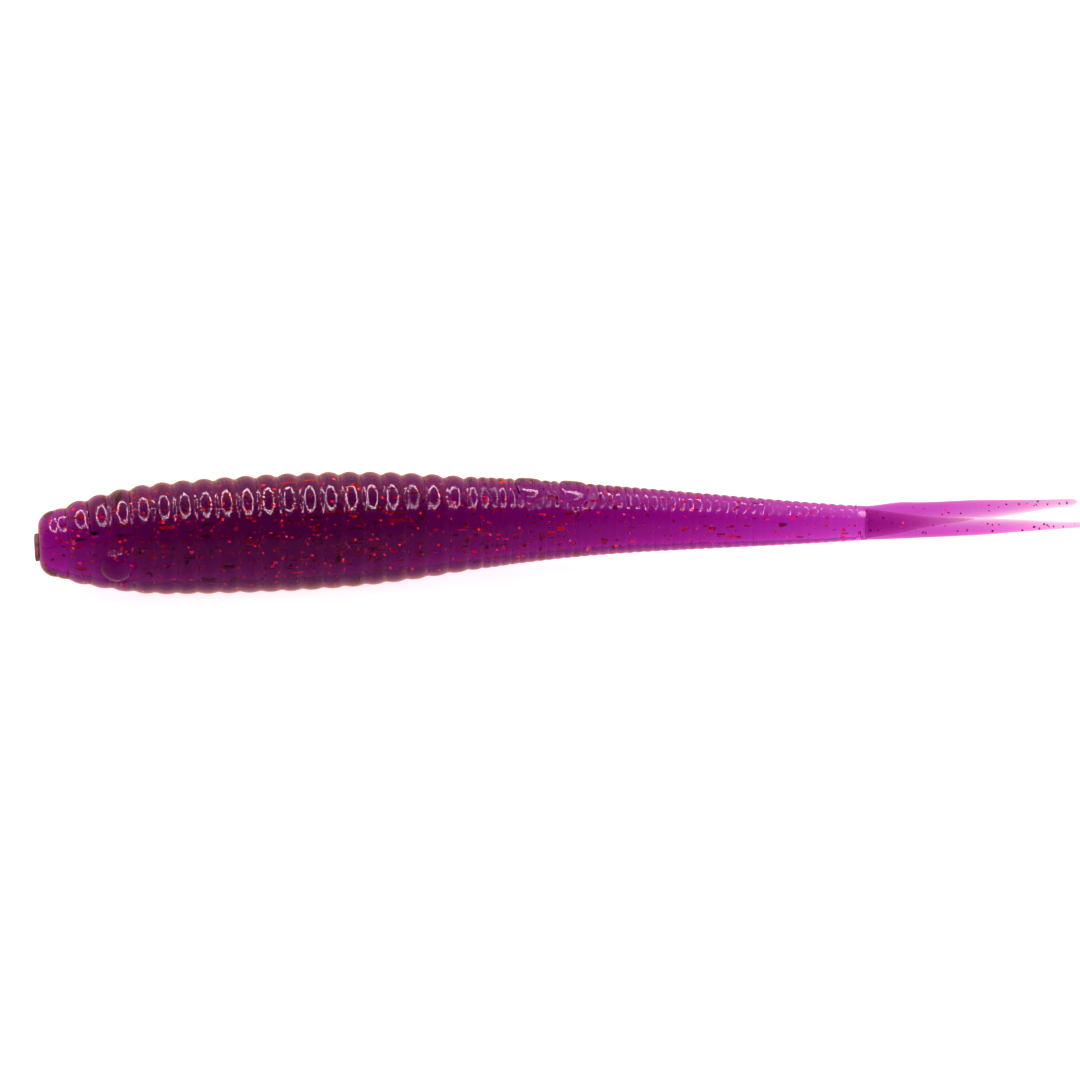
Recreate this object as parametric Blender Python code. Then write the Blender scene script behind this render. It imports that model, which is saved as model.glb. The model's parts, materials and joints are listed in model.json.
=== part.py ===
"""Soft plastic worm: a fork-tailed fishing bait, modelled as the sections between its ribs.

Frame: nose towards -X, tail towards +X, back up (+Z). The origin is on the ground under the middle of the
bait's length. Distances named "along" run from the nose's tip towards the tail.
"""
import math

import bmesh
import bpy
from mathutils import Vector

MM = 0.001

# The whole bait
LENGTH = 102.0 * MM
GAP = 0.3 * MM               # free space between two pieces of gel that touch on the real moulding
LIMIT_GAP = 0.1 * MM         # what is left between two section rims when their joint is at its limit

# Body axis: level over the belly, then the stem droops under its own weight
AXIS_HEIGHT = 5.25 * MM      # a little less than the belly's radius, so the belly has a flat to lie on
DROOP = 2.28 * MM
DROOP_START = 44.9 * MM
DROOP_END = 88.3 * MM

# Radius over the ribs' crests, as (distance along, radius)
BODY_OUTLINE = [
    (0.4 * MM, 2.30 * MM),
    (2.8 * MM, 3.55 * MM),
    (6.0 * MM, 4.45 * MM),
    (10.5 * MM, 5.25 * MM),
    (15.0 * MM, 5.52 * MM),
    (25.5 * MM, 5.69 * MM),
    (34.0 * MM, 5.38 * MM),
    (43.0 * MM, 4.47 * MM),
    (55.0 * MM, 3.42 * MM),
    (68.0 * MM, 2.52 * MM),
    (80.0 * MM, 1.72 * MM),
]

# Nose
GATE_LENGTH = 0.4 * MM       # how far the runner's stub stands out of the nose
GATE_RADIUS = 1.3 * MM
GATE_TAPER = 0.85            # the stub's cut face against its foot
GATE_SEAT_DEPTH = 0.7 * MM
NOSE_FACE_RADIUS = 1.95 * MM
NOSE_ROUNDING = 1.7 * MM     # length of the nose cap's rounded edge

# Coarse ribs: round beads with a narrow groove between them, a little wider on the head
NOSE_CAP_END = 3.07 * MM
HEAD_PITCH = 2.09 * MM
HEAD_RIBS = 4
COARSE_PITCH = 2.02 * MM
COARSE_BEAD_RADIUS = 1.64 * MM
BODY_SECTIONS = 5
RIBS_PER_BODY_SECTION = 3
RINGS_PER_COARSE_RIB = 4

# The narrower rib between the coarse ribs and the fine ones
SHOULDER_PITCH = 1.35 * MM
SHOULDER_BEAD_RADIUS = 1.0 * MM

# Fine ribs on the stem
FINE_PITCH = 0.872 * MM
FINE_BEAD_RADIUS = 1.1 * MM
STEM_SECTION_RIBS = [8, 6, 7, 7, 7, 7]
RINGS_PER_FINE_RIB = 2

# How finely round shapes are divided
BODY_SIDES = 24
STEM_SIDES = 18
NOSE_STEPS = 5
EYE_DOME_RINGS = 3
FORK_STEPS = 4
SHARP_ANGLE = math.radians(40)
SMALLEST_RING_STEP = 0.3     # of an end's stand-back: no ring lies closer than this to a section's end

# Eyes: domed plugs in round sockets, on the body's widest line
EYE_ALONG = 8.39 * MM
EYE_DROP = 0.45 * MM         # the eyes sit this far below the body's axis
EYE_RADIUS = 1.65 * MM
EYE_SEAT = 4.35 * MM         # from the body's axis to the plug's inner face
EYE_RIM = 4.9 * MM
EYE_TOP = 5.45 * MM
EYE_TILT = math.radians(10)  # the eye faces a little forwards, square to the tapering head

# Low oval bosses on the back of the stem
BOSS_LENGTH = 2.9 * MM
BOSS_WIDTH = 4.4 * MM
BOSS_HEIGHT = 0.2 * MM       # above the ribs' crests
BOSS_SEAT = 1.3 * MM         # the seat's depth below the ribs' crests
# The pad's crowned top, as (share of the oval, how far it is rounded off)
BOSS_CROWN = [(1.0, 0.12 * MM), (0.85, 0.0), (0.45, 0.0)]
BACK_BOSSES = {
    "back_boss_front": (47.8 * MM, "stem_section_1"),
    "back_boss_rear": (52.1 * MM, "stem_section_2"),
}

# Fork and tines
FORK_END = 82.2 * MM
FORK_HALF_WIDTH = 1.85 * MM
FORK_HALF_HEIGHT = 1.40 * MM
FORK_SLIT_START = 80.6 * MM
FORK_SLIT_HALF_WIDTH = 0.35 * MM
TINE_SPLITS = [82.2 * MM, 88.6 * MM, 95.2 * MM, LENGTH]
TINE_PIECES = ["root", "middle", "tip"]
TINE_STEPS = 5
TINE_ROUND_SIDES = 8
TINE_TIP_ROUNDING = 1.0 * MM
TINE_TIP_ANGLES = [math.radians(0), math.radians(35), math.radians(65)]
# One tine, as (distance along, its flat inner face from the middle, thickness, half its height)
TINE_OUTLINE = [
    (82.2 * MM, 0.35 * MM, 1.50 * MM, 1.38 * MM),
    (86.7 * MM, 1.02 * MM, 1.36 * MM, 1.02 * MM),
    (91.5 * MM, 1.37 * MM, 1.16 * MM, 0.85 * MM),
    (96.1 * MM, 1.65 * MM, 0.90 * MM, 0.57 * MM),
    (99.5 * MM, 1.98 * MM, 0.56 * MM, 0.33 * MM),
    (102.0 * MM, 2.10 * MM, 0.44 * MM, 0.22 * MM),
]

# Each kind of rib: (pitch, bead radius, rings per rib, sides)
RIB_KINDS = {
    "head": (HEAD_PITCH, COARSE_BEAD_RADIUS, RINGS_PER_COARSE_RIB, BODY_SIDES),
    "coarse": (COARSE_PITCH, COARSE_BEAD_RADIUS, RINGS_PER_COARSE_RIB, BODY_SIDES),
    "shoulder": (SHOULDER_PITCH, SHOULDER_BEAD_RADIUS, RINGS_PER_COARSE_RIB, BODY_SIDES),
    "fine": (FINE_PITCH, FINE_BEAD_RADIUS, RINGS_PER_FINE_RIB, STEM_SIDES),
}

# How far each joint bends, which sets how far the rims stand back from each other
BODY_BEND = math.radians(7)
STEM_BEND = math.radians(12)
TINE_BEND = math.radians(20)


def clear_scene():
    for thing in list(bpy.data.objects):
        bpy.data.objects.remove(thing, do_unlink=True)


def make_material(name, colour, roughness):
    material = bpy.data.materials.new(name)
    material.use_nodes = True
    shader = material.node_tree.nodes["Principled BSDF"]
    shader.inputs["Base Color"].default_value = (*colour, 1.0)
    shader.inputs["Roughness"].default_value = roughness
    shader.inputs["Metallic"].default_value = 0.0
    return material


def smooth_curve(points, at, column=1):
    """The value in one column at a distance, on a cubic through the points."""
    places = [point[0] for point in points]
    values = [point[column] for point in points]
    if at <= places[0]:
        return values[0]
    if at >= places[-1]:
        return values[-1]
    slopes = []
    for index in range(len(points)):
        before = max(index - 1, 0)
        after = min(index + 1, len(points) - 1)
        slopes.append((values[after] - values[before]) / (places[after] - places[before]))
    index = next(i for i in range(len(points) - 1) if at <= places[i + 1])
    span = places[index + 1] - places[index]
    t = (at - places[index]) / span
    return (
        values[index] * (2 * t**3 - 3 * t**2 + 1)
        + slopes[index] * span * (t**3 - 2 * t**2 + t)
        + values[index + 1] * (3 * t**2 - 2 * t**3)
        + slopes[index + 1] * span * (t**3 - t**2)
    )


def world_x(along):
    return along - LENGTH / 2


def axis_height(along):
    t = min(max((along - DROOP_START) / (DROOP_END - DROOP_START), 0.0), 1.0)
    return AXIS_HEIGHT - DROOP * t * t * (3 - 2 * t)


def axis_point(along, side=0.0):
    return Vector((world_x(along), side, axis_height(along)))


def bead_drop(offset, bead_radius):
    """How far a round bead's surface lies below its crest, at an offset along the body."""
    return bead_radius - math.sqrt(bead_radius**2 - offset**2)


def ribbed_stations(start, ribs, pitch, bead_radius, rings_per_rib, stand_back):
    """(distance along, radius) for each ring of a run of ribs, whose ends stand back from the groove."""
    end = start + ribs * pitch
    places = [start + pitch * ring / rings_per_rib for ring in range(ribs * rings_per_rib + 1)]
    first = start + stand_back[0] * (1 + SMALLEST_RING_STEP)
    last = end - stand_back[1] * (1 + SMALLEST_RING_STEP)
    kept = [start + stand_back[0]]
    kept += [place for place in places if first < place < last]
    kept.append(end - stand_back[1])
    stations = []
    for place in kept:
        rib = min(int((place - start) / pitch), ribs - 1)
        offset = place - (start + (rib + 0.5) * pitch)
        stations.append((place, smooth_curve(BODY_OUTLINE, place) - bead_drop(offset, bead_radius)))
    return stations


def round_ring(along, radius, sides):
    """A ring of points round the body's axis, flattened where the belly lies on the ground."""
    centre = axis_point(along)
    ring = []
    for side in range(sides):
        angle = 2 * math.pi * side / sides
        height = max(centre.z + radius * math.sin(angle), 0.0)
        ring.append(Vector((centre.x, radius * math.cos(angle), height)))
    return ring


def loft(name, rings, front_tip, back_tip, origin, material, parent=None):
    """One closed body through rings of equal size, each end closed by a fan to its own tip."""
    work = bmesh.new()
    loops = [[work.verts.new(point - origin) for point in ring] for ring in rings]
    count = len(loops[0])
    for near, far in zip(loops, loops[1:]):
        for side in range(count):
            after = (side + 1) % count
            work.faces.new((near[side], near[after], far[after], far[side]))
    for loop, tip in ((loops[0], front_tip), (loops[-1], back_tip)):
        hub = work.verts.new(tip - origin)
        for side in range(count):
            work.faces.new((loop[side], loop[(side + 1) % count], hub))
    bmesh.ops.recalc_face_normals(work, faces=work.faces)
    return add_object(name, work, origin, material, parent)


def add_object(name, work, origin, material, parent=None):
    """Turns a bmesh, whose points are relative to the origin, into a named object."""
    mesh = bpy.data.meshes.new(name)
    work.to_mesh(mesh)
    work.free()
    mesh.materials.append(material)
    mesh.shade_smooth()
    mesh.set_sharp_from_angle(angle=SHARP_ANGLE)
    thing = bpy.data.objects.new(name, mesh)
    bpy.context.collection.objects.link(thing)
    if parent is None:
        thing.location = origin
    else:
        bpy.context.view_layer.update()
        thing.parent = parent
        thing.location = origin - parent.matrix_world.translation
    bpy.context.view_layer.update()
    return thing


def rim_slope(bend, radius):
    """How steeply a section's end falls back from its joint's axis, so two rims just miss at the limit."""
    return max(math.tan(bend / 2) - (GAP - LIMIT_GAP) / (2 * radius), 0.0)


def rim_stand_back(bend, along):
    radius = smooth_curve(BODY_OUTLINE, along)
    return GAP / 2 + radius * rim_slope(bend, radius)


def ribbed_section(name, start, ribs, kind, bends, material, parent=None):
    """A run of ribs of one kind between two joints. bends are the joint limits at its two ends, 0 if fixed."""
    pitch, bead_radius, rings_per_rib, sides = RIB_KINDS[kind]
    end = start + ribs * pitch
    stand_back = [rim_stand_back(bends[0], start), rim_stand_back(bends[1], end)]
    stations = ribbed_stations(start, ribs, pitch, bead_radius, rings_per_rib, stand_back)
    rings = [round_ring(along, radius, sides) for along, radius in stations]
    front_tip = axis_point(start + GAP / 2)
    back_tip = axis_point(end - GAP / 2)
    return loft(name, rings, front_tip, back_tip, axis_point(start), material, parent)


def build_nose_cap(material, parent):
    """The first rib: a flat face with a rounded edge, which swells to the second rib's groove."""
    crest = NOSE_ROUNDING + GATE_LENGTH
    crest_radius = smooth_curve(BODY_OUTLINE, crest)
    stations = []
    for step in range(NOSE_STEPS + 1):
        angle = math.pi / 2 * step / NOSE_STEPS
        along = GATE_LENGTH + NOSE_ROUNDING * (1 - math.cos(angle))
        radius = NOSE_FACE_RADIUS + (crest_radius - NOSE_FACE_RADIUS) * math.sin(angle)
        stations.append((along, radius))
    back = NOSE_CAP_END - GAP / 2
    back_radius = smooth_curve(BODY_OUTLINE, back) - bead_drop(back - crest, COARSE_BEAD_RADIUS)
    stations.append((back, back_radius))
    rings = [round_ring(along, radius, BODY_SIDES) for along, radius in stations]
    front = axis_point(GATE_LENGTH)
    cap = loft("nose_cap", rings, front, axis_point(back), front, material, parent)
    seat_radius = GATE_RADIUS + GAP
    seat_floor = axis_point(GATE_LENGTH + GATE_SEAT_DEPTH)
    cut_oval(cap, "gate_seat_cutter", axis_point(-GATE_LENGTH), seat_floor, (seat_radius, seat_radius))
    return cap


def build_gate_stub(material, parent):
    """The short stub left where the bait was cut from its runner, seated in the nose."""
    foot = GATE_LENGTH + GATE_SEAT_DEPTH - GAP
    stations = [(0.0, GATE_TAPER * GATE_RADIUS), (GATE_LENGTH, GATE_RADIUS), (foot, GATE_RADIUS)]
    rings = [round_ring(along, radius, STEM_SIDES) for along, radius in stations]
    return loft("gate_stub", rings, axis_point(0.0), axis_point(foot), axis_point(0.0), material, parent)


def oval_points(centre, across, up, half_sizes, sides):
    """Points of an oval about a centre, in the plane of two unit directions."""
    points = []
    for side in range(sides):
        angle = 2 * math.pi * side / sides
        first = across * half_sizes[0] * math.cos(angle)
        second = up * half_sizes[1] * math.sin(angle)
        points.append(centre + first + second)
    return points


def plane_directions(direction):
    """Two unit directions square to a direction: the first along the body where that is possible."""
    lead = Vector((0, 0, 1)) if abs(direction.x) > 0.9 else Vector((1, 0, 0))
    across = (lead - direction * lead.dot(direction)).normalized()
    return across, direction.cross(across)


def cut_oval(target, name, outside, floor, half_sizes):
    """Cuts an oval hole into a piece, from a point outside it down to the floor."""
    across, up = plane_directions((outside - floor).normalized())
    rings = [oval_points(centre, across, up, half_sizes, STEM_SIDES) for centre in (outside, floor)]
    cutter = loft(name, rings, outside, floor, floor, target.data.materials[0], target)
    cut(target, cutter)


def cut(target, cutter):
    cutter.hide_render = True
    cutter.display_type = "WIRE"
    boolean = target.modifiers.new(cutter.name, "BOOLEAN")
    boolean.operation = "DIFFERENCE"
    boolean.solver = "EXACT"
    boolean.object = cutter


def build_eye(side, material, head):
    """A domed plug in a round socket. side is 1 on the left (+Y) and -1 on the right."""
    name = "eye_left" if side > 0 else "eye_right"
    outward = Vector((-math.sin(EYE_TILT), side * math.cos(EYE_TILT), 0))
    foot = axis_point(EYE_ALONG) - Vector((0, 0, EYE_DROP))
    socket_radius = EYE_RADIUS + GAP
    outside = foot + outward * (EYE_TOP + GAP)
    floor = foot + outward * (EYE_SEAT - GAP)
    cut_oval(head, f"{name}_cutter", outside, floor, (socket_radius, socket_radius))
    across, up = plane_directions(outward)
    levels = [(EYE_SEAT, 1.0), (EYE_RIM, 1.0)]
    for ring in range(1, EYE_DOME_RINGS):
        angle = math.pi / 2 * ring / EYE_DOME_RINGS
        levels.append((EYE_RIM + (EYE_TOP - EYE_RIM) * math.sin(angle), math.cos(angle)))
    rings = []
    for distance, share in levels:
        half_sizes = (EYE_RADIUS * share, EYE_RADIUS * share)
        rings.append(oval_points(foot + outward * distance, across, up, half_sizes, STEM_SIDES))
    seat, top = foot + outward * EYE_SEAT, foot + outward * EYE_TOP
    return loft(name, rings, seat, top, seat, material, head)


def build_back_boss(name, along, material, section):
    """A low oval pad whose crowned top follows the stem's round back."""
    crest = smooth_curve(BODY_OUTLINE, along)
    centre = axis_point(along)
    upward = Vector((0, 0, 1))
    half_sizes = (BOSS_LENGTH / 2, BOSS_WIDTH / 2)
    seat = centre + upward * (crest - BOSS_SEAT)
    above = centre + upward * (crest + 2 * BOSS_HEIGHT)
    cut_oval(section, f"{name}_cutter", above, seat, (half_sizes[0] + GAP, half_sizes[1] + GAP))
    across, aside = plane_directions(upward)
    foot = seat + upward * GAP
    rings = [oval_points(foot, across, aside, half_sizes, STEM_SIDES)]
    for share, drop in BOSS_CROWN:
        shrunk = (half_sizes[0] * share, half_sizes[1] * share)
        ring = oval_points(centre, across, aside, shrunk, STEM_SIDES)
        for point in ring:
            point.z += math.sqrt((crest + BOSS_HEIGHT) ** 2 - point.y**2) - drop
        rings.append(ring)
    top = centre + upward * (crest + BOSS_HEIGHT)
    return loft(name, rings, foot, top, foot, material, section)


def build_fork_root(start, material, parent):
    """The smooth end of the stem, which turns from round to oval and is slit where the tines begin."""
    first = start + rim_stand_back(STEM_BEND, start)
    last = FORK_END - GAP / 2 - FORK_HALF_HEIGHT * rim_slope(TINE_BEND, FORK_HALF_HEIGHT)
    sideways, up = Vector((0, 1, 0)), Vector((0, 0, 1))
    rings = []
    for step in range(FORK_STEPS + 1):
        t = step / FORK_STEPS
        along = first + (last - first) * t
        radius = smooth_curve(BODY_OUTLINE, along)
        half_width = radius + (FORK_HALF_WIDTH - radius) * t
        half_height = radius + (FORK_HALF_HEIGHT - radius) * t
        rings.append(oval_points(axis_point(along), sideways, up, (half_width, half_height), STEM_SIDES))
    front_tip = axis_point(start + GAP / 2)
    root = loft("fork_root", rings, front_tip, axis_point(last), axis_point(start), material, parent)

    wedge = []
    slit_end = FORK_END + GAP
    tall = up * 2 * FORK_HALF_HEIGHT
    for along, half_width in ((FORK_SLIT_START, GAP / 2), (slit_end, FORK_SLIT_HALF_WIDTH)):
        centre, wide = axis_point(along), sideways * half_width
        below, above = centre - tall, centre + tall
        wedge.append([below - wide, below + wide, above + wide, above - wide])
    slit_start = axis_point(FORK_SLIT_START)
    cutter = loft("fork_slit_cutter", wedge, slit_start, axis_point(slit_end), slit_start, material, root)
    cut(root, cutter)
    return root


def tine_size(along):
    """The inner face's distance from the middle, the thickness and half the height of a tine."""
    return [smooth_curve(TINE_OUTLINE, along, column) for column in (1, 2, 3)]


def tine_middle(along, side):
    inner, thickness, _ = tine_size(along)
    return axis_point(along, side * (inner + thickness / 2))


def tine_ring(along, side, lean=0.0, shrink=1.0):
    """A D-shaped ring: a flat inner face and a round outer one. side is 1 on the left, -1 on the right.

    An end ring leans back from its joint: lean is its slope, positive at a piece's front end.
    """
    _, thickness, half_height = tine_size(along)
    middle = tine_middle(along, side)
    points = []
    for step in range(TINE_ROUND_SIDES + 1):
        angle = math.pi * (step / TINE_ROUND_SIDES - 0.5)
        outward = thickness * (math.cos(angle) - 0.5) * shrink
        height = half_height * math.sin(angle) * shrink
        back = math.copysign(GAP / 2, lean) + abs(height) * lean if lean else 0.0
        points.append(middle + Vector((back, side * outward, height)))
    return points


def tine_lean(along):
    """The slope of a tine's end, never flat, so that it leans back even where the tine is thin."""
    return max(rim_slope(TINE_BEND, tine_size(along)[2]), math.tan(TINE_BEND / 2) / 2)


def build_tine(side, material, fork):
    """Three pieces of one tine, each hinged on the one before. side is 1 on the left, -1 on the right."""
    hand = "left" if side > 0 else "right"
    parent = fork
    for piece, start, end in zip(TINE_PIECES, TINE_SPLITS, TINE_SPLITS[1:]):
        is_tip = end == LENGTH
        last = end - TINE_TIP_ROUNDING if is_tip else end
        rings = [tine_ring(start, side, tine_lean(start))]
        spacing = (last - start) / TINE_STEPS
        rings += [tine_ring(start + spacing * step, side) for step in range(1, TINE_STEPS)]
        if is_tip:
            for angle in TINE_TIP_ANGLES:
                along = last + TINE_TIP_ROUNDING * math.sin(angle)
                rings.append(tine_ring(along, side, shrink=math.cos(angle)))
            back_tip = tine_middle(end, side)
        else:
            rings.append(tine_ring(end, side, -tine_lean(end)))
            back_tip = tine_middle(end, side) - Vector((GAP / 2, 0, 0))
        origin = tine_middle(start, side)
        front_tip = origin + Vector((GAP / 2, 0, 0))
        parent = loft(f"{hand}_tine_{piece}", rings, front_tip, back_tip, origin, material, parent)


def build_head(gel, cut_gel):
    head = ribbed_section("head_section", NOSE_CAP_END, HEAD_RIBS, "head", (0.0, BODY_BEND), gel)
    nose_cap = build_nose_cap(gel, head)
    build_gate_stub(cut_gel, nose_cap)
    for side in (1, -1):
        build_eye(side, gel, head)
    return head


def build_worm():
    gel = make_material("violet_gel", (0.22, 0.02, 0.32), 0.18)
    thin_gel = make_material("thin_gel", (0.62, 0.16, 0.55), 0.18)
    cut_gel = make_material("cut_gel", (0.25, 0.03, 0.10), 0.7)

    previous = build_head(gel, cut_gel)
    along = NOSE_CAP_END + HEAD_RIBS * HEAD_PITCH
    for number in range(1, BODY_SECTIONS + 1):
        bends = (BODY_BEND, BODY_BEND if number < BODY_SECTIONS else 0.0)
        name = f"body_section_{number}"
        previous = ribbed_section(name, along, RIBS_PER_BODY_SECTION, "coarse", bends, gel, previous)
        along += RIBS_PER_BODY_SECTION * COARSE_PITCH
    previous = ribbed_section("shoulder_rib", along, 1, "shoulder", (0.0, BODY_BEND), gel, previous)
    along += SHOULDER_PITCH

    stem = {}
    for number, ribs in enumerate(STEM_SECTION_RIBS, start=1):
        bends = (BODY_BEND if number == 1 else STEM_BEND, STEM_BEND)
        name = f"stem_section_{number}"
        previous = ribbed_section(name, along, ribs, "fine", bends, gel, previous)
        stem[name] = previous
        along += ribs * FINE_PITCH
    for name, (place, section) in BACK_BOSSES.items():
        build_back_boss(name, place, gel, stem[section])

    fork = build_fork_root(along, gel, previous)
    for side in (1, -1):
        build_tine(side, thin_gel, fork)


clear_scene()
build_worm()
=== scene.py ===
"""Soft plastic worm: the clear gel, its ribs, eyes and bosses, and the glitter cast into it.

Distances named "along" run from the nose's tip towards the tail, as in the CAD model, and angles run round the
body's axis from its left side (+Y) over its back (+Z). The gel is made in pieces that meet where two joints'
bends don't reach, one piece across each joint.
"""
import json
import math
import random

import bpy
from mathutils import Matrix, Vector

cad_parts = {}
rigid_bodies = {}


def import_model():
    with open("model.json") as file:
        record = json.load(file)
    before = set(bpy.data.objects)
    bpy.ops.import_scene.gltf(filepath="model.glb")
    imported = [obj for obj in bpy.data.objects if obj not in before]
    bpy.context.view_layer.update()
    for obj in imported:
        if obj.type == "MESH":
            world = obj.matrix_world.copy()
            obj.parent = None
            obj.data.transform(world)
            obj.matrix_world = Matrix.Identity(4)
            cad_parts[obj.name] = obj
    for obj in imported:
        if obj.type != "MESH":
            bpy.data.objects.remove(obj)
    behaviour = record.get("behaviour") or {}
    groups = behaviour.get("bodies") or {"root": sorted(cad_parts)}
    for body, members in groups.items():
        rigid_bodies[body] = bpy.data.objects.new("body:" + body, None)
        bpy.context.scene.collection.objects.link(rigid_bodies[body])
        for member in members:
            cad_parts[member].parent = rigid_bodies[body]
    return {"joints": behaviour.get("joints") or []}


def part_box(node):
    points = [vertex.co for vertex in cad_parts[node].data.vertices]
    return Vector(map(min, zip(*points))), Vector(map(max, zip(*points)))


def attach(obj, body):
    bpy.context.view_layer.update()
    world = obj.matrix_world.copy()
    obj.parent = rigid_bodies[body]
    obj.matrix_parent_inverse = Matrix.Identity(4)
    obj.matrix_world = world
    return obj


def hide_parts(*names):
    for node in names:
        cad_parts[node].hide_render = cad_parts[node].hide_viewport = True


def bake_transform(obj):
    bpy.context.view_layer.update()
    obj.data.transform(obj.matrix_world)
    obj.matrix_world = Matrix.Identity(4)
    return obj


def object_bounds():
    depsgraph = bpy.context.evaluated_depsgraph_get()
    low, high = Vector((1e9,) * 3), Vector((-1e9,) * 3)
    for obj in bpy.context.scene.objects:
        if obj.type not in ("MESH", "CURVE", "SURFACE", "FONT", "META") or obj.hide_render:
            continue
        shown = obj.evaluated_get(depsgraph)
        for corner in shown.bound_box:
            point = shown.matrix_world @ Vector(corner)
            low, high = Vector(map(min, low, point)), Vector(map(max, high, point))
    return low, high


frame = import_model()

CAD_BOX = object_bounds()
MM = 0.001

# Body axis, as in the CAD model: level over the belly, then the stem droops
LENGTH = CAD_BOX[1].x - CAD_BOX[0].x
AXIS_HEIGHT = 5.25 * MM
DROOP = 2.28 * MM
DROOP_START = 44.9 * MM
DROOP_END = 88.3 * MM

# Radius over the ribs' crests, as (distance along, radius)
BODY_OUTLINE = [
    (0.4 * MM, 2.30 * MM),
    (2.8 * MM, 3.55 * MM),
    (6.0 * MM, 4.45 * MM),
    (10.5 * MM, 5.25 * MM),
    (15.0 * MM, 5.52 * MM),
    (25.5 * MM, 5.69 * MM),
    (34.0 * MM, 5.38 * MM),
    (43.0 * MM, 4.47 * MM),
    (55.0 * MM, 3.42 * MM),
    (68.0 * MM, 2.52 * MM),
    (80.0 * MM, 1.72 * MM),
]

# Nose and ribs
GATE_LENGTH = 0.4 * MM
GATE_DROP = 0.3 * MM          # the stub is this far below the body's axis
NOSE_FACE_RADIUS = 1.60 * MM
NOSE_ROUNDING = 1.7 * MM
NOSE_CREST = GATE_LENGTH + NOSE_ROUNDING
NOSE_CAP_END = 3.07 * MM
COARSE_PITCH = 2.02 * MM
FINE_PITCH = 0.872 * MM
# Runs of ribs from the nose cap on: how many, pitch, bead radius, half the width of the groove's round bottom
RIB_RUNS = [
    (4, 2.09 * MM, 1.52 * MM, 0.24 * MM),
    (15, COARSE_PITCH, 1.52 * MM, 0.24 * MM),
    (1, 1.35 * MM, 0.95 * MM, 0.14 * MM),
    (42, FINE_PITCH, 0.82 * MM, 0.06 * MM),
]
FINE_START = NOSE_CAP_END + sum(run[0] * run[1] for run in RIB_RUNS[:3])
RIBS_END = FINE_START + RIB_RUNS[3][0] * FINE_PITCH
BELLY_SHALLOW = 0.48          # the share of a groove's depth that is missing along the belly
BELLY_CLEARANCE = 0.01 * MM   # the belly's flat stays this far above the ground

# Eyes: a dome in a round moulded groove on each side of the head
EYE_ALONG = 8.39 * MM
EYE_DROP = 0.45 * MM          # the eyes sit this far below the body's axis
EYE_TILT = math.radians(10)
EYE_DOME_RADIUS = 1.68 * MM
EYE_GROOVE_RADIUS = 2.05 * MM
EYE_BALL_RADIUS = 1.95 * MM
EYE_MOAT_DEPTH = 0.13 * MM
EYE_TOP = 5.48 * MM           # from the body's axis
EYE_FRONT = EYE_ALONG - EYE_TOP * math.sin(EYE_TILT)

# Oval bosses on the back
BOSS_PLACES = [47.8 * MM, 52.1 * MM]
BOSS_HALF_LENGTH = 1.5 * MM
BOSS_HALF_WIDTH = 2.35 * MM
BOSS_HEIGHT = 0.13 * MM
BOSS_EDGE = 0.16              # share of the oval over which the pad's side falls
BOSS_GROOVE_DEPTH = 0.13 * MM

# Fork and tines
FORK_START = 80.6 * MM
FORK_END = 82.2 * MM
FORK_HALF_WIDTH = 1.85 * MM
FORK_HALF_HEIGHT = 1.52 * MM
TINE_TIP_ROUNDING = 1.0 * MM
LEFT_TALLER = 0.28            # the left tine is this much taller than the right one
LEFT_RAISED = 0.17 * MM
LEFT_GROWN = 85 * MM
# One tine, as (distance along, its flat inner face from the middle, thickness, half its height)
TINE_OUTLINE = [
    (80.6 * MM, 0.04 * MM, 1.80 * MM, 1.60 * MM),
    (82.2 * MM, 0.30 * MM, 1.65 * MM, 1.45 * MM),
    (86.7 * MM, 0.85 * MM, 1.55 * MM, 1.02 * MM),
    (91.5 * MM, 1.30 * MM, 1.25 * MM, 0.85 * MM),
    (96.1 * MM, 1.65 * MM, 0.90 * MM, 0.57 * MM),
    (99.5 * MM, 1.98 * MM, 0.56 * MM, 0.37 * MM),
    (102.0 * MM, 2.10 * MM, 0.44 * MM, 0.31 * MM),
]

# How the gel is cut into pieces
SEAM_STRIP = 0.02 * MM        # a narrow strip beside each seam keeps its shading even
CAP_GAP = 0.001 * MM          # the hidden ends of two pieces stay this far back from their seam
CAP_RIM = 0.99                # the share of an end's radius where it reaches that distance
NOSE_STEPS = 14
NOSE_CAP_STEPS = 8
FORK_STEPS = 6
COARSE_STEPS = 14
EYE_RIB_STEPS = 26
FINE_STEPS = 10
TINE_STEP = 0.35 * MM
TINE_TIP_ANGLES = (0, 20, 40, 58, 74, 84)
FINE_BEND_REACH = 3 * FINE_PITCH
BODY_SIDES = 160
TINE_SIDES = 28

# Stage, light and camera
FLOOR_HALF_SIZE = 3.0
FLOOR_GAP = 0.05 * MM
LAMP_CENTRE = (-0.055, 0.05, 0.33)
LAMP_HALF_LENGTH = 0.17
LAMP_HALF_WIDTH = 0.15
LAMP_RIM = 0.055
LAMP_COLOUR = (1.0, 0.72, 0.80, 1.0)
LAMP_STRENGTH = 34.0
SKY_BELOW = (0.80, 0.55, 0.60, 1.0)
SKY_ABOVE = (0.06, 0.055, 0.06, 1.0)
SKY_BEHIND = (1.40, 0.72, 0.55, 1.0)
SKY_THROUGH_GEL = (0.9, 0.9, 0.9, 1.0)
CAMERA_ELEVATION = math.radians(28)
CAMERA_YAW = math.radians(6)
CAMERA_DISTANCE = 0.72
CAMERA_LENS = 248.2

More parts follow.
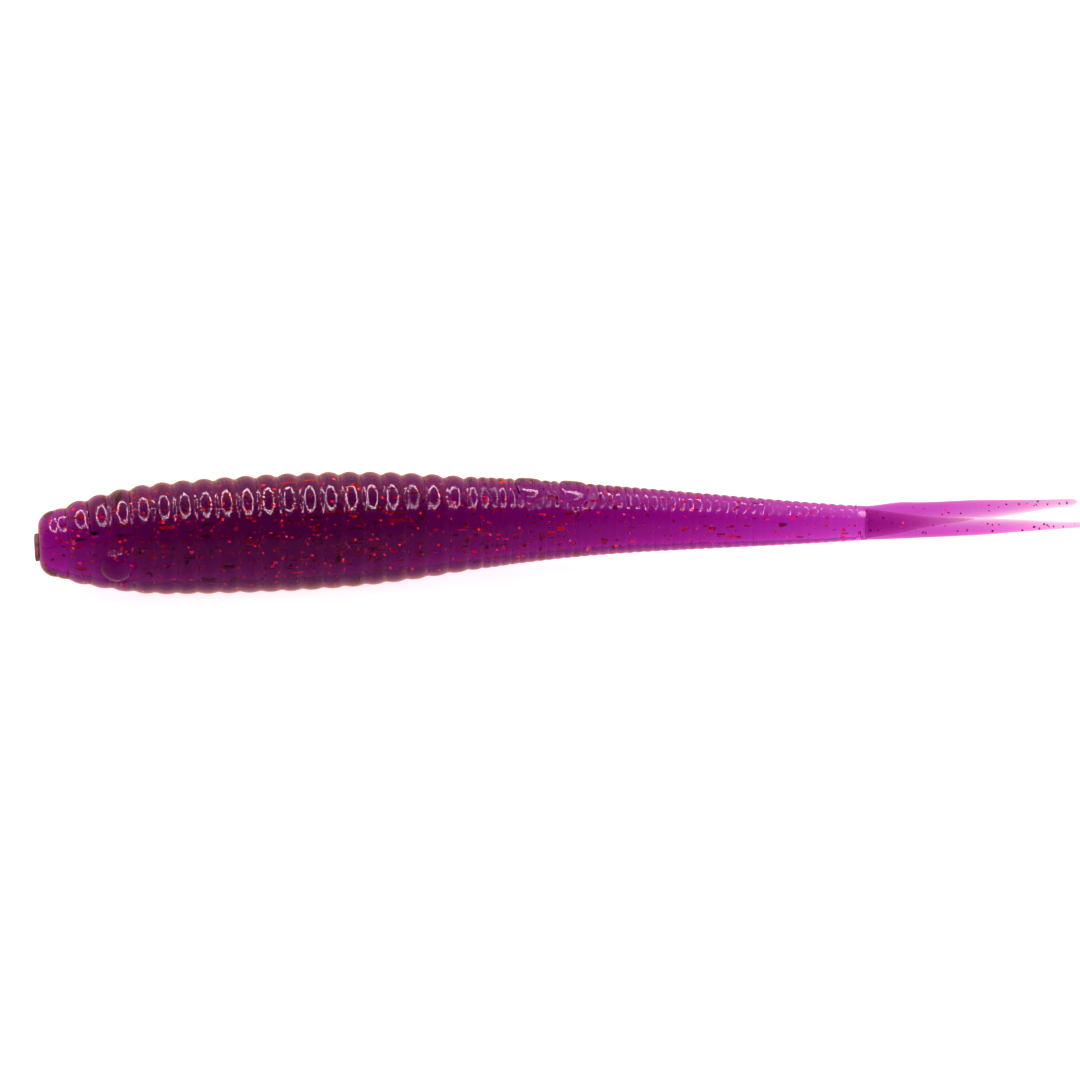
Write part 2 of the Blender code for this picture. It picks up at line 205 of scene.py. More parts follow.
# Glitter
SMALL_FLAKE = 0.25 * MM
LARGE_FLAKE = 0.60 * MM
FLAKE_SIDES = 6
FLAKE_THICKNESS = 0.03 * MM
FLAKE_MARGIN = 0.25 * MM
LARGE_SHARE = 0.02
PINK_SHARE = 0.07
NO_PAINTED_GLINT_SHARE = 0.60             # the share of flakes with no painted glint; the others glow by a random amount, a painted glint
FLAKE_DENSITY = 0.62 / MM**3
TINE_FLAKE_DENSITY = 1.5 / MM


def world_x(along):
    return along - LENGTH / 2


def along_of(point):
    return point[0] + LENGTH / 2


def axis_height(along):
    t = min(max((along - DROOP_START) / (DROOP_END - DROOP_START), 0.0), 1.0)
    return AXIS_HEIGHT - DROOP * t * t * (3 - 2 * t)


def axis_point(along, side=0.0):
    return Vector((world_x(along), side, axis_height(along)))


def smooth_curve(points, at, column=1):
    """The value in one column at a distance, on a cubic through the points."""
    if at <= points[0][0]:
        return points[0][column]
    if at >= points[-1][0]:
        return points[-1][column]
    index = next(i for i in range(len(points) - 1) if at <= points[i + 1][0])
    slopes = []
    for here in (index, index + 1):
        before, after = points[max(here - 1, 0)], points[min(here + 1, len(points) - 1)]
        slopes.append((after[column] - before[column]) / (after[0] - before[0]))
    span = points[index + 1][0] - points[index][0]
    t = (at - points[index][0]) / span
    return (
        points[index][column] * (2 * t**3 - 3 * t**2 + 1)
        + slopes[0] * span * (t**3 - 2 * t**2 + t)
        + points[index + 1][column] * (3 * t**2 - 2 * t**3)
        + slopes[1] * span * (t**3 - t**2)
    )


def smoothstep(low, high, value):
    t = min(max((value - low) / (high - low), 0.0), 1.0)
    return t * t * (3 - 2 * t)


def rib_drop(offset, pitch, bead_radius, fillet):
    """How far a rib's skin lies below its crest, at an offset from it: a round bead, then a rounded groove."""
    offset = abs(offset)
    edge = pitch / 2 - fillet
    if offset <= edge:
        return bead_radius - math.sqrt(bead_radius**2 - offset**2)
    slope = edge / math.sqrt(bead_radius**2 - edge**2)
    into = offset - edge
    return bead_radius - math.sqrt(bead_radius**2 - edge**2) + slope * (into - into**2 / (2 * fillet))


def crest_radius(along):
    return smooth_curve(BODY_OUTLINE, along)


def list_ribs():
    """Every rib behind the nose cap, as (where it starts, pitch, bead radius, fillet)."""
    ribs = []
    at = NOSE_CAP_END
    for count, pitch, bead_radius, fillet in RIB_RUNS:
        for _ in range(count):
            ribs.append((at, pitch, bead_radius, fillet))
            at += pitch
    return ribs


RIBS = list_ribs()


def groove_depth(along):
    """How far the skin lies below the line over the crests, from the nose cap to the end of the ribs."""
    if along <= NOSE_CREST or along >= RIBS_END:
        return 0.0
    if along < NOSE_CAP_END:
        _, _, bead_radius, fillet = RIBS[0]
        return rib_drop(along - NOSE_CREST, 2 * (NOSE_CAP_END - NOSE_CREST), bead_radius, fillet)
    start, pitch, bead_radius, fillet = next(rib for rib in reversed(RIBS) if rib[0] <= along)
    return rib_drop(along - start - pitch / 2, pitch, bead_radius, fillet)


def ribbed_radius(along, angle=math.pi / 2):
    """The body's radius with its ribs, from the nose to the end of the stem. They are shallower below."""
    if along < NOSE_CREST:
        swell = math.sqrt(max(1 - ((NOSE_CREST - along) / NOSE_ROUNDING) ** 2, 0.0))
        return NOSE_FACE_RADIUS + (crest_radius(NOSE_CREST) - NOSE_FACE_RADIUS) * swell
    shallow = BELLY_SHALLOW * smoothstep(0.2, 0.9, -math.sin(angle))
    return crest_radius(along) - groove_depth(along) * (1 - shallow)


def eye_frame(side):
    """The eye's foot on the body's axis and the way it faces. side is 1 on the left, -1 on the right."""
    foot = axis_point(EYE_ALONG) - Vector((0, 0, EYE_DROP))
    return foot, Vector((-math.sin(EYE_TILT), side * math.cos(EYE_TILT), 0))


def with_eyes(point):
    """Raises the eye's dome and sinks the groove round it, where a point lies on one."""
    foot, outward = eye_frame(1 if point.y > 0 else -1)
    height = (point - foot).dot(outward)
    if height < 0:
        return point
    spread = (point - foot - outward * height).length
    if spread >= EYE_GROOVE_RADIUS:
        return point
    rim_drop = EYE_BALL_RADIUS - math.sqrt(EYE_BALL_RADIUS**2 - EYE_DOME_RADIUS**2)
    floor = min(EYE_TOP - rim_drop, height - EYE_MOAT_DEPTH)
    if spread <= EYE_DOME_RADIUS:
        level = EYE_TOP - (EYE_BALL_RADIUS - math.sqrt(EYE_BALL_RADIUS**2 - spread**2))
        level += (floor - EYE_TOP + rim_drop) * smoothstep(0.8 * EYE_DOME_RADIUS, EYE_DOME_RADIUS, spread)
    else:
        back_up = smoothstep(EYE_DOME_RADIUS, EYE_GROOVE_RADIUS, spread)
        level = floor * (1 - back_up) + height * back_up
    return point + outward * (level - height)


def with_bosses(along, angle, radius):
    """The radius where a boss may stand on the back: a smooth pad with a steep side and a narrow groove."""
    for place in BOSS_PLACES:
        aside = radius * math.cos(angle)
        if math.sin(angle) <= 0:
            continue
        reach = math.hypot((along - place) / BOSS_HALF_LENGTH, aside / BOSS_HALF_WIDTH)
        if reach >= 1 + 2 * BOSS_EDGE:
            continue
        pad = crest_radius(along) + BOSS_HEIGHT * (1 - 0.7 * ((along - place) / BOSS_HALF_LENGTH) ** 2)
        side = smoothstep(1 - BOSS_EDGE, 1, reach)
        groove = BOSS_GROOVE_DEPTH * (1 - smoothstep(1, 1 + 2 * BOSS_EDGE, reach)) * side
        radius = pad + (radius - pad) * side - groove
    return radius


def body_point(along, angle):
    """A point of the gel's surface, from the nose to the fork."""
    radius = with_bosses(along, angle, ribbed_radius(along, angle))
    width, height = radius, radius
    if along > RIBS_END:
        t = (along - RIBS_END) / (FORK_END - RIBS_END)
        width += (FORK_HALF_WIDTH - radius) * t
        height += (FORK_HALF_HEIGHT - radius) * t
    point = axis_point(along)
    point.y = width * math.cos(angle)
    point.z = max(point.z + height * math.sin(angle), BELLY_CLEARANCE)
    return with_eyes(point)


def tine_size(along):
    """The inner face's distance from the middle, the thickness and half the height of a tine."""
    return [smooth_curve(TINE_OUTLINE, along, column) for column in (1, 2, 3)]


def left_growth(along, side):
    """The share of its extra height that the left tine has at a distance: none at the fork, all soon after."""
    return smoothstep(FORK_START, LEFT_GROWN, along) if side > 0 else 0.0


def tine_middle(along, side):
    inner, thickness, _ = tine_size(along)
    raised = Vector((0, 0, LEFT_RAISED * left_growth(along, side)))
    return axis_point(along, side * (inner + thickness / 2)) + raised


def tine_point(along, angle, side):
    """A point of one tine: a flat inner face with soft edges, and a round outer face."""
    _, thickness, half_height = tine_size(along)
    half_height *= 1 + LEFT_TALLER * left_growth(along, side)
    last = LENGTH - TINE_TIP_ROUNDING
    shrink = 1.0
    if along > last:
        shrink = math.sqrt(max(1 - ((along - last) / TINE_TIP_ROUNDING) ** 2, 0.0))
    across = math.cos(angle)
    outward = thickness * (across - 0.5) if across > 0 else thickness * (0.12 * across - 0.5)
    height = half_height * math.sin(angle)
    return tine_middle(along, side) + Vector((0, side * outward, height)) * shrink


def stations(start, end, step):
    """Distances from start to end, about a step apart, with a narrow strip at each end."""
    count = max(2, math.ceil((end - start) / step))
    places = [start + (end - start) * i / count for i in range(count + 1)]
    return [places[0], places[0] + SEAM_STRIP] + places[1:-1] + [places[-1] - SEAM_STRIP, places[-1]]


def rib_places(start, pitch, fillet, steps):
    """Rings across one rib from its groove: close together in the groove, even over the bead."""
    groove = [start + fillet * i / 3 for i in range(4)]
    bead = pitch - 2 * fillet
    middle = [start + fillet + bead * i / steps for i in range(1, steps + 1)]
    return groove + middle + [start + pitch - fillet * i / 3 for i in (2, 1)]


def body_stations(start, end):
    """Rings from start to end that follow the ribs, with closer ones at the eyes."""
    places = []
    for step in range(NOSE_STEPS):
        places.append(NOSE_CREST - NOSE_ROUNDING * math.cos(math.pi / 2 * step / NOSE_STEPS))
    cap = NOSE_CAP_END - NOSE_CREST
    places += [NOSE_CREST + cap * i / NOSE_CAP_STEPS for i in range(NOSE_CAP_STEPS)]
    for at, pitch, _, fillet in RIBS:
        near_eye = abs(at + pitch / 2 - EYE_FRONT) < EYE_GROOVE_RADIUS + pitch / 2
        steps = EYE_RIB_STEPS if near_eye else FINE_STEPS if pitch == FINE_PITCH else COARSE_STEPS
        places += rib_places(at, pitch, fillet, steps)
    places += [RIBS_END + (FORK_START - RIBS_END) * i / FORK_STEPS for i in range(FORK_STEPS)]
    inside = [p for p in places if start + 2 * SEAM_STRIP < p < end - 2 * SEAM_STRIP]
    return [start, start + SEAM_STRIP] + inside + [end - SEAM_STRIP, end]


def even_angles(count):
    return [2 * math.pi * i / count for i in range(count)]


def eye_angles():
    """Angles round the head, twice as close where the eyes are."""
    reach = math.asin(EYE_GROOVE_RADIUS / EYE_TOP) * 1.2
    fine, coarse = 52, 36
    angles = []
    for middle in (0.0, math.pi):
        angles += [middle - reach + 2 * reach * i / fine for i in range(fine)]
        rest = math.pi - 2 * reach
        angles += [middle + reach + rest * i / coarse for i in range(coarse)]
    return angles


def gel_mesh(name, rings, front_cap, back_cap):
    """A closed mesh through rings of equal size. A cap is a hidden end that another piece of gel meets."""
    points, faces, hidden = [], [], []
    count = len(rings[0])

    def add_faces(new, is_hidden):
        faces.extend(new)
        hidden.extend([is_hidden] * len(new))

    for ring in rings:
        points += ring
    for row in range(len(rings) - 1):
        low, high = row * count, (row + 1) * count
        sides = []
        for i in range(count):
            j = (i + 1) % count
            sides.append((low + i, low + j, high + j, high + i))
        add_faces(sides, False)
    ends = ((0, front_cap, 1), ((len(rings) - 1) * count, back_cap, -1))
    for first, is_cap, inward in ends:
        ring = points[first:first + count]
        middle = sum(ring, Vector()) / count
        back = Vector((inward * CAP_GAP, 0, 0)) if is_cap else Vector()
        inner = len(points)
        points += [middle + (p - middle) * CAP_RIM + back for p in ring]
        hub = len(points)
        points.append(middle + back)
        disc = []
        for i in range(count):
            j = (i + 1) % count
            disc.append((first + j, first + i, inner + i, inner + j))
            disc.append((inner + j, inner + i, hub))
        if inward < 0:
            disc = [tuple(reversed(face)) for face in disc]
        add_faces(disc, is_cap)
    mesh = bpy.data.meshes.new(name)
    mesh.from_pydata(points, [], faces)
    attribute = mesh.attributes.new("hidden_end", "FLOAT", "FACE")
    attribute.data.foreach_set("value", [float(flag) for flag in hidden])
    mesh.shade_smooth()
    mesh.validate()
    mesh.update()
    return mesh


def add_piece(name, mesh, material):
    mesh.materials.append(material)
    piece = bpy.data.objects.new(name, mesh)
    bpy.context.scene.collection.objects.link(piece)
    return piece


# ---------------------------------------------------------------- materials

def new_material(name):
    material = bpy.data.materials.new(name)
    material.use_nodes = True
    nodes = material.node_tree.nodes
    return material, nodes, material.node_tree.links, nodes["Principled BSDF"]


def gel_material(name, tint, absorption, density, ior):
    """Clear gel that takes its colour from its depth, with a slightly uneven, glossy skin."""
    material, nodes, links, shader = new_material(name)
    shader.inputs["Base Color"].default_value = (*tint, 1.0)
    shader.inputs["Transmission Weight"].default_value = 1.0
    shader.inputs["IOR"].default_value = ior
    shader.inputs["Specular Tint"].default_value = (0.55, 0.5, 0.5, 1.0)

    place = nodes.new("ShaderNodeTexCoord")
    grease = nodes.new("ShaderNodeTexNoise")
    grease.inputs["Scale"].default_value = 400
    grease.inputs["Detail"].default_value = 3
    links.new(place.outputs["Object"], grease.inputs["Vector"])
    gloss = nodes.new("ShaderNodeMapRange")
    gloss.inputs["To Min"].default_value = 0.07
    gloss.inputs["To Max"].default_value = 0.11
    links.new(grease.outputs["Fac"], gloss.inputs["Value"])
    links.new(gloss.outputs["Result"], shader.inputs["Roughness"])

    ripple = nodes.new("ShaderNodeTexNoise")
    ripple.inputs["Scale"].default_value = 900
    ripple.inputs["Detail"].default_value = 2
    links.new(place.outputs["Object"], ripple.inputs["Vector"])
    bump = nodes.new("ShaderNodeBump")
    bump.inputs["Strength"].default_value = 0.02
    bump.inputs["Distance"].default_value = 0.05 * MM
    links.new(ripple.outputs["Fac"], bump.inputs["Height"])
    links.new(bump.outputs["Normal"], shader.inputs["Normal"])

    clear = nodes.new("ShaderNodeBsdfTransparent")
    end = nodes.new("ShaderNodeAttribute")
    end.attribute_name = "hidden_end"
    mix = nodes.new("ShaderNodeMixShader")
    links.new(end.outputs["Fac"], mix.inputs["Fac"])
    links.new(shader.outputs["BSDF"], mix.inputs[1])
    links.new(clear.outputs["BSDF"], mix.inputs[2])
    output = nodes["Material Output"]
    links.new(mix.outputs["Shader"], output.inputs["Surface"])

    depth = nodes.new("ShaderNodeVolumeAbsorption")
    depth.inputs["Color"].default_value = (*absorption, 1.0)
    depth.inputs["Density"].default_value = density
    links.new(depth.outputs["Volume"], output.inputs["Volume"])
    return material


def flake_material(name, colour, roughness, painted_glint_glow):
    """Coated film that shines through a little. A few flakes glow with a painted glint, an emission set at
    random for each flake.
    """
    material, nodes, links, shader = new_material(name)
    shader.inputs["Metallic"].default_value = 0.3
    shader.inputs["Roughness"].default_value = roughness
    shader.inputs["Alpha"].default_value = 0.7
    # Painted glint: each flake's glint attribute sets an emission, so some flakes glow like lit sparkles
    painted_glint = nodes.new("ShaderNodeAttribute")
    painted_glint.attribute_name = "painted_glint"
    painted_glint_strength = nodes.new("ShaderNodeMapRange")
    painted_glint_strength.inputs["To Max"].default_value = painted_glint_glow
    links.new(painted_glint.outputs["Fac"], painted_glint_strength.inputs["Value"])
    links.new(painted_glint_strength.outputs["Result"], shader.inputs["Emission Strength"])
    place = nodes.new("ShaderNodeTexCoord")
    dye = nodes.new("ShaderNodeTexNoise")
    dye.inputs["Scale"].default_value = 700
    links.new(place.outputs["Object"], dye.inputs["Vector"])
    ramp = nodes.new("ShaderNodeValToRGB")
    ramp.color_ramp.elements[0].position = 0.35
    ramp.color_ramp.elements[0].color = (*[c * 0.6 for c in colour], 1.0)
    ramp.color_ramp.elements[1].position = 0.65
    ramp.color_ramp.elements[1].color = (*colour, 1.0)
    links.new(dye.outputs["Fac"], ramp.inputs["Fac"])
    links.new(ramp.outputs["Color"], shader.inputs["Base Color"])
    links.new(ramp.outputs["Color"], shader.inputs["Emission Color"])
    return material


def cut_material():
    """The torn, dull face where the bait was cut from its runner."""
    material, nodes, links, shader = new_material("torn_gel")
    shader.inputs["Roughness"].default_value = 0.7
    place = nodes.new("ShaderNodeTexCoord")
    tear = nodes.new("ShaderNodeTexNoise")
    tear.inputs["Scale"].default_value = 1800
    tear.inputs["Detail"].default_value = 4
    links.new(place.outputs["Object"], tear.inputs["Vector"])
    ramp = nodes.new("ShaderNodeValToRGB")
    ramp.color_ramp.elements[0].position = 0.35
    ramp.color_ramp.elements[0].color = (0.06, 0.005, 0.02, 1.0)
    ramp.color_ramp.elements[1].position = 0.70
    ramp.color_ramp.elements[1].color = (0.30, 0.05, 0.09, 1.0)
    links.new(tear.outputs["Fac"], ramp.inputs["Fac"])
    links.new(ramp.outputs["Color"], shader.inputs["Base Color"])
    bump = nodes.new("ShaderNodeBump")
    bump.inputs["Strength"].default_value = 0.6
    bump.inputs["Distance"].default_value = 0.1 * MM
    links.new(tear.outputs["Fac"], bump.inputs["Height"])
    links.new(bump.outputs["Normal"], shader.inputs["Normal"])
    return material


# ---------------------------------------------------------------- glitter

def flake_shape(centre, turn, width):
    """A thin hexagonal prism as points and faces."""
    points = []
    for level in (-FLAKE_THICKNESS / 2, FLAKE_THICKNESS / 2):
        for corner in range(FLAKE_SIDES):
            angle = 2 * math.pi * corner / FLAKE_SIDES
            local = Vector((math.cos(angle) * width / 2, math.sin(angle) * width / 2, level))
            points.append(centre + turn @ local)
    faces = [tuple(reversed(range(FLAKE_SIDES))), tuple(range(FLAKE_SIDES, 2 * FLAKE_SIDES))]
    for i in range(FLAKE_SIDES):
        j = (i + 1) % FLAKE_SIDES
        faces.append((i, j, FLAKE_SIDES + j, FLAKE_SIDES + i))
    return points, faces


def random_turn(rng):
    """An even random rotation."""
    axis = Vector((rng.gauss(0, 1), rng.gauss(0, 1), rng.gauss(0, 1))).normalized()
    return Matrix.Rotation(rng.uniform(0, math.pi), 3, axis)


def flakes_mesh(name, places, rng):
    """All the flakes of one piece of gel. Each place is (centre, the width that fits there)."""
    points, faces, which, painted_glints = [], [], [], []
    for centre, room in places:
        is_large = rng.random() < LARGE_SHARE and room > LARGE_FLAKE
        width = LARGE_FLAKE if is_large else min(SMALL_FLAKE * rng.uniform(0.85, 1.15), room)
        if is_large:
            width *= rng.uniform(0.7, 1.0)
        first = len(points)
        new_points, new_faces = flake_shape(centre, random_turn(rng), width)
        points += new_points
        faces += [tuple(first + i for i in face) for face in new_faces]
        kind = 1 if is_large or rng.random() < PINK_SHARE else 0
        which += [kind] * len(new_faces)
        # Painted glint: a random glow for each flake, none for most of them
        painted_glints += [max(rng.random() - NO_PAINTED_GLINT_SHARE, 0.0) / (1 - NO_PAINTED_GLINT_SHARE)] * len(new_faces)
    mesh = bpy.data.meshes.new(name)
    mesh.from_pydata(points, [], faces)
    attribute = mesh.attributes.new("painted_glint", "FLOAT", "FACE")
    attribute.data.foreach_set("value", painted_glints)
    mesh.update()
    return mesh, which


def body_flake_places(start, end, density, rng):
    """Random places inside the body between two distances. density is in flakes per cubic metre."""
    widest = max(crest_radius(start), crest_radius(end))
    volume = (end - start) * math.pi * widest**2
    places = []
    for _ in range(round(volume * density)):
        along = rng.uniform(start, end)
        radius = widest * math.sqrt(rng.random())
        angle = rng.uniform(0, 2 * math.pi)
        room = ribbed_radius(along) - radius - FLAKE_MARGIN
        centre = axis_point(along)
        centre.y = radius * math.cos(angle)
        centre.z += radius * math.sin(angle)
        if room > 0 and centre.z > SMALL_FLAKE:
            places.append((centre, 2 * room + SMALL_FLAKE))
    return places


def tine_flake_places(start, end, side, density, rng):
    """Random places inside a tine between two distances. density is in flakes per metre."""
    places = []
    for _ in range(round((end - start) * density)):
        along = rng.uniform(start, end)
        _, thickness, half_height = tine_size(along)
        centre = tine_middle(along, side)
        centre.y += rng.uniform(-0.25, 0.25) * thickness
        centre.z += rng.uniform(-0.6, 0.6) * half_height
        places.append((centre, 1.3 * SMALL_FLAKE))
    return places


def add_flakes(name, places, small, large, rng):
    """The flakes of one piece of gel. small and large are the materials of the common and the rare flakes."""
    mesh, which = flakes_mesh(name, places, rng)
    piece = add_piece(name, mesh, small)
    mesh.materials.append(large)
    mesh.polygons.foreach_set("material_index", which)
    mesh.update()
    return piece


# ---------------------------------------------------------------- the bait

JOINTS = {joint["name"]: joint for joint in frame["joints"]}


def joint_place(name):
    """How far along the body a joint lies."""
    return along_of(JOINTS[name]["pos_m"])


# A joint listed apart; its gel's transform is baked just like the others'
TAIL_END_FIRST = {"body_sway_3"}


def build_chain(gel, flakes, rng):
    """The gel from the nose to the fork, one piece for each joint of the spine."""
    spine = [
        "body_sway", "body_arch", "body_sway_2", "body_arch_2", "body_sway_3", "body_arch_3",
        "stem_sway", "stem_curl", "stem_sway_2", "stem_curl_2", "stem_sway_3", "stem_curl_3",
    ]
    nodes = {
        "head": ["nose_cap", "head_section", "eye_left", "eye_right"],
        "trunk_1": ["body_section_1"],
        "trunk_2": ["body_section_2"],
        "trunk_3": ["body_section_3"],
        "trunk_4": ["body_section_4"],
        "trunk_5": ["body_section_5", "shoulder_rib"],
        "stem_1": ["stem_section_1", "back_boss_front"],
        "stem_2": ["stem_section_2", "back_boss_rear"],
        "stem_3": ["stem_section_3"],
        "stem_4": ["stem_section_4"],
        "stem_5": ["stem_section_5"],
        "stem_6": ["stem_section_6", "fork_root"],
    }
    start = GATE_LENGTH
    for index, name in enumerate(spine):
        joint = JOINTS[name]
        at = joint_place(name)
        is_body = at < FINE_START - SEAM_STRIP
        after = min(at + (COARSE_PITCH if is_body else FINE_BEND_REACH), FORK_START)
        angles = eye_angles() if index == 0 else even_angles(BODY_SIDES)
        rings = [[body_point(a, t) for t in angles] for a in body_stations(start, after)]
        body = joint["parent"]
        label = "nose_and_head" if body == "head" else body
        mesh = gel_mesh(f"gel_{label}", rings, index > 0, True)
        piece = add_piece(f"gel_{label}", mesh, gel)
        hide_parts(*nodes[body])
        places = body_flake_places(start, after, FLAKE_DENSITY, rng)
        glitter = add_flakes(f"glitter_{label}", places, flakes["red"], flakes["pink"], rng)
        for thing in (piece, glitter):
            if name in TAIL_END_FIRST:
                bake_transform(thing)
            else:
                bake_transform(thing)
        start = after


def build_tines(thin_gel, flakes, rng):
    """The gel of both tines, one piece for each joint, and the flakes in it."""
    for side, hand in ((1, "left"), (-1, "right")):
        start = FORK_START
        for number, piece_name in enumerate(("root", "middle", "tip")):
            name = f"{hand}_tine_flap" + ("" if number == 0 else f"_{number + 1}")
            at = joint_place(name)
            is_tip = piece_name == "tip"
            if is_tip:
                end = LENGTH
            else:
                following = joint_place(f"{hand}_tine_flap_{number + 2}")
                end = (at + following) / 2
            places = stations(start, end, TINE_STEP)
            if is_tip:
                last = LENGTH - TINE_TIP_ROUNDING
                places = [p for p in places if p < last]
                places += [last + TINE_TIP_ROUNDING * math.sin(math.radians(a)) for a in TINE_TIP_ANGLES]
            rings = [[tine_point(a, t, side) for t in even_angles(TINE_SIDES)] for a in places]
            if side < 0:
                rings = [list(reversed(ring)) for ring in rings]
            mesh = gel_mesh(f"gel_{hand}_tine_{piece_name}", rings, True, not is_tip)
            piece = add_piece(f"gel_{hand}_tine_{piece_name}", mesh, thin_gel)
            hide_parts(f"{hand}_tine_{piece_name}")
            glitter = add_flakes(
                f"glitter_{hand}_tine_{piece_name}",
                tine_flake_places(start, end - TINE_TIP_ROUNDING, side, TINE_FLAKE_DENSITY, rng),
                flakes["maroon"],
                flakes["pink"],
                rng,
            )
            for thing in (piece, glitter):
                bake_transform(thing)
            start = end


def build_gate(material, rng):
    """The torn stub on the nose: a short rough button, a little lower than the nose's middle."""
    node_low, node_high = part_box("gate_stub")
    radius = (node_high.y - node_low.y) / 2
    sides = 40
    rings = []
    steps = [(0.0, 0.55), (0.02, 0.8), (0.12, 0.95), (0.4, 1.0), (0.75, 1.0)]
    for share, spread in steps:
        ring = []
        for angle in even_angles(sides):
            rough = 1 + rng.uniform(-0.06, 0.06)
            point = axis_point(GATE_LENGTH * share)
            point.x += rng.uniform(0, 0.12) * GATE_LENGTH if share == 0.0 else 0.0
            point.y = radius * spread * rough * math.cos(angle)
            point.z += radius * spread * rough * math.sin(angle) - GATE_DROP
            ring.append(point)
        rings.append(ring)
    last = [p.copy() for p in rings[-1]]
    for p in last:
        p.x = world_x(GATE_LENGTH * 0.95)
    rings.append(last)
    mesh = gel_mesh("gate_stub_torn", rings, False, False)
    piece = add_piece("gate_stub_torn", mesh, material)
    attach(piece, "head")
    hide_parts("gate_stub")


# ---------------------------------------------------------------- stage, light and camera

def build_floor():
    """A pale floor that glows, so that it comes out white. The gel's gloss mirrors the world instead."""
    half = FLOOR_HALF_SIZE
    mesh = bpy.data.meshes.new("floor")
    z = -FLOOR_GAP
    corners = [(-half, -half, z), (half, -half, z), (half, half, z), (-half, half, z)]
    mesh.from_pydata(corners, [], [(0, 1, 2, 3)])
    floor = bpy.data.objects.new("floor", mesh)
    bpy.context.scene.collection.objects.link(floor)
    material, nodes, links, shader = new_material("pale_floor")
    shader.inputs["Base Color"].default_value = (0.5, 0.5, 0.5, 1.0)
    shader.inputs["Roughness"].default_value = 0.9
    shader.inputs["Emission Color"].default_value = (1.0, 1.0, 1.0, 1.0)
    shader.inputs["Emission Strength"].default_value = 0.85
    mesh.materials.append(material)
    floor.visible_glossy = False


def build_ring_lamp():
    """A large thin oval ring of light over the bait, which leaves a ring of gloss on each rib."""
    centre = Vector(LAMP_CENTRE)
    half_length, half_width, rim, sides = LAMP_HALF_LENGTH, LAMP_HALF_WIDTH, LAMP_RIM, 96
    points, faces = [], []
    for grow in (0, rim):
        for angle in even_angles(sides):
            along, aside = (half_length + grow) * math.cos(angle), (half_width + grow) * math.sin(angle)
            points.append(centre + Vector((along, aside, 0)))
    for i in range(sides):
        j = (i + 1) % sides
        faces.append((i, j, sides + j, sides + i))
    mesh = bpy.data.meshes.new("ring_lamp")
    mesh.from_pydata(points, [], faces)
    lamp = bpy.data.objects.new("ring_lamp", mesh)
    bpy.context.scene.collection.objects.link(lamp)
    material, nodes, links, shader = new_material("lamp")
    shader.inputs["Base Color"].default_value = (0, 0, 0, 1)
    shader.inputs["Emission Color"].default_value = LAMP_COLOUR
    shader.inputs["Emission Strength"].default_value = LAMP_STRENGTH
    mesh.materials.append(material)
    lamp.visible_camera = False
    lamp.visible_diffuse = False
    lamp.visible_shadow = False


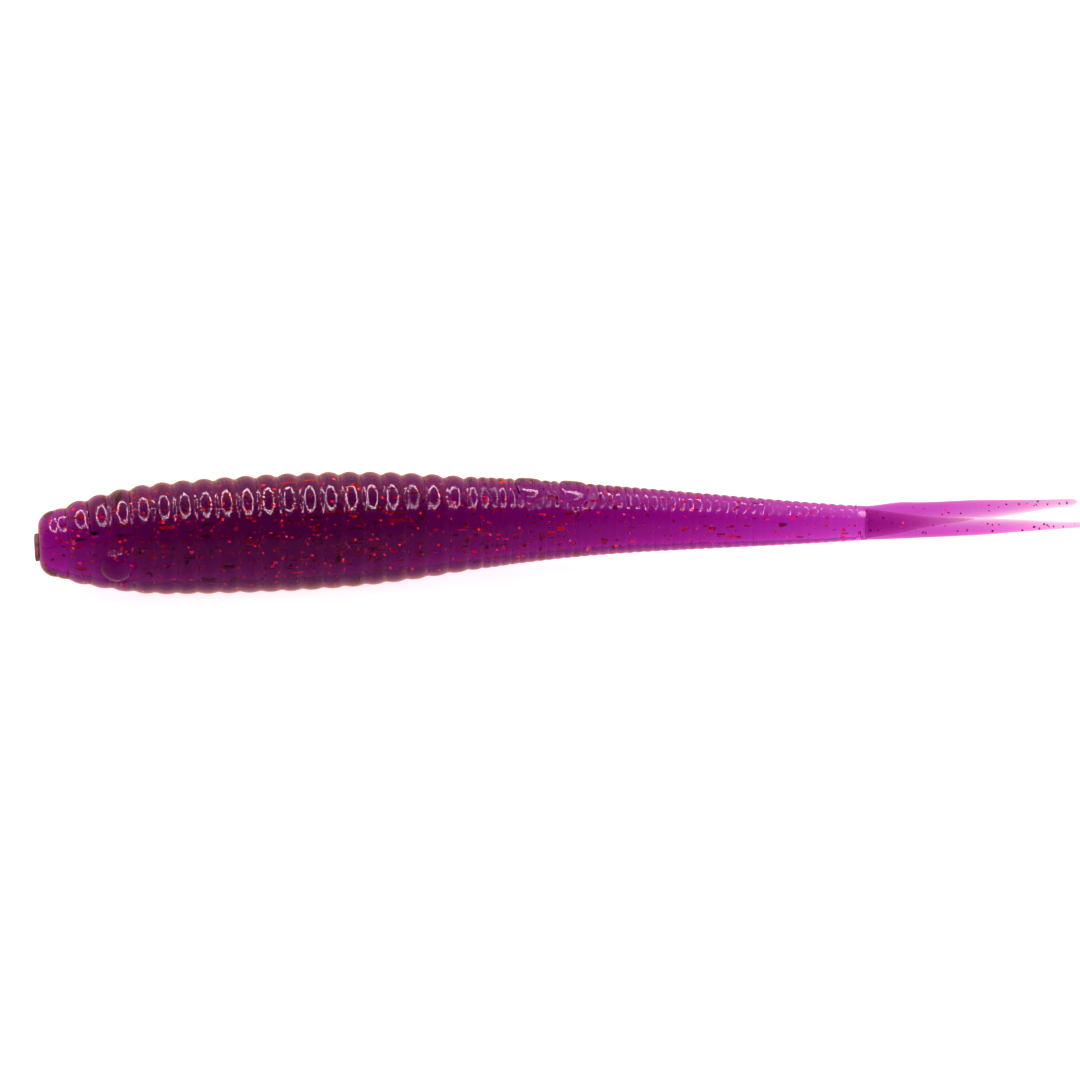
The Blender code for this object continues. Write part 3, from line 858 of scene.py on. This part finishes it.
def build_world():
    """Pale light through the gel; its gloss mirrors a dark sky in front and a warm, bright one behind."""
    world = bpy.data.worlds.new("studio")
    bpy.context.scene.world = world
    world.use_nodes = True
    nodes, links = world.node_tree.nodes, world.node_tree.links
    place = nodes.new("ShaderNodeTexCoord")
    split = nodes.new("ShaderNodeSeparateXYZ")
    links.new(place.outputs["Generated"], split.inputs["Vector"])
    ramp = nodes.new("ShaderNodeValToRGB")
    elements = ramp.color_ramp.elements
    elements[0].position = 0.05
    elements[0].color = SKY_BELOW
    elements[1].position = 0.35
    elements[1].color = SKY_ABOVE
    links.new(split.outputs["Z"], ramp.inputs["Fac"])
    behind = nodes.new("ShaderNodeMapRange")
    behind.interpolation_type = "SMOOTHSTEP"
    behind.inputs["From Min"].default_value = -0.05
    behind.inputs["From Max"].default_value = 0.35
    links.new(split.outputs["Y"], behind.inputs["Value"])
    around = nodes.new("ShaderNodeMix")
    around.data_type = "RGBA"
    links.new(behind.outputs["Result"], around.inputs["Factor"])
    links.new(ramp.outputs["Color"], around.inputs[6])
    around.inputs[7].default_value = SKY_BEHIND
    path = nodes.new("ShaderNodeLightPath")
    choose = nodes.new("ShaderNodeMix")
    choose.data_type = "RGBA"
    through = nodes.new("ShaderNodeMath")
    through.operation = "MAXIMUM"
    links.new(path.outputs["Is Transmission Ray"], through.inputs[0])
    links.new(path.outputs["Is Diffuse Ray"], through.inputs[1])
    links.new(through.outputs["Value"], choose.inputs["Factor"])
    links.new(around.outputs[2], choose.inputs[6])
    choose.inputs[7].default_value = SKY_THROUGH_GEL
    links.new(choose.outputs[2], nodes["Background"].inputs["Color"])
    nodes["Background"].inputs["Strength"].default_value = 1.0


def build_camera():
    elevation, yaw = CAMERA_ELEVATION, CAMERA_YAW
    distance, lens = CAMERA_DISTANCE, CAMERA_LENS
    level = math.cos(elevation)
    ahead = Vector((math.sin(yaw) * level, math.cos(yaw) * level, -math.sin(elevation)))
    right = Vector((math.cos(yaw), -math.sin(yaw), 0))
    up = right.cross(ahead)
    target = Vector((-2.15 * MM, 0, AXIS_HEIGHT)) - up * 1.95 * MM
    data = bpy.data.cameras.new("camera")
    data.lens, data.sensor_width = lens, 36
    data.clip_start, data.clip_end = 0.01, 20
    camera = bpy.data.objects.new("camera", data)
    bpy.context.scene.collection.objects.link(camera)
    camera.location = target - ahead * distance
    camera.rotation_mode = "QUATERNION"
    camera.rotation_quaternion = ahead.to_track_quat("-Z", "Y")
    bpy.context.scene.camera = camera


violet = gel_material("violet_gel_clear", (1.0, 1.0, 1.0), (0.745, 0.0, 0.712), 1130.0, 1.30)
thin = gel_material("thin_gel_clear", (0.84, 0.74, 0.68), (0.762, 0.0, 0.786), 1350.0, 1.03)
# The last number of each glitter is the strength of its painted glint, an emission
flakes = {
    "red": flake_material("red_glitter", (1.0, 0.05, 0.01), 0.4, 1.1),
    "pink": flake_material("pink_glitter", (0.9, 0.16, 0.18), 0.4, 0.6),
    "maroon": flake_material("maroon_glitter", (0.30, 0.01, 0.05), 0.5, 0.25),
}
rng = random.Random(7)
build_chain(violet, flakes, rng)
build_tines(thin, flakes, rng)
build_gate(cut_material(), rng)
build_floor()
build_ring_lamp()
build_world()
build_camera()
bpy.context.scene.view_settings.view_transform = "Standard"
bpy.context.scene.cycles.max_bounces = 24
bpy.context.scene.cycles.transmission_bounces = 24
bpy.context.scene.cycles.transparent_max_bounces = 24
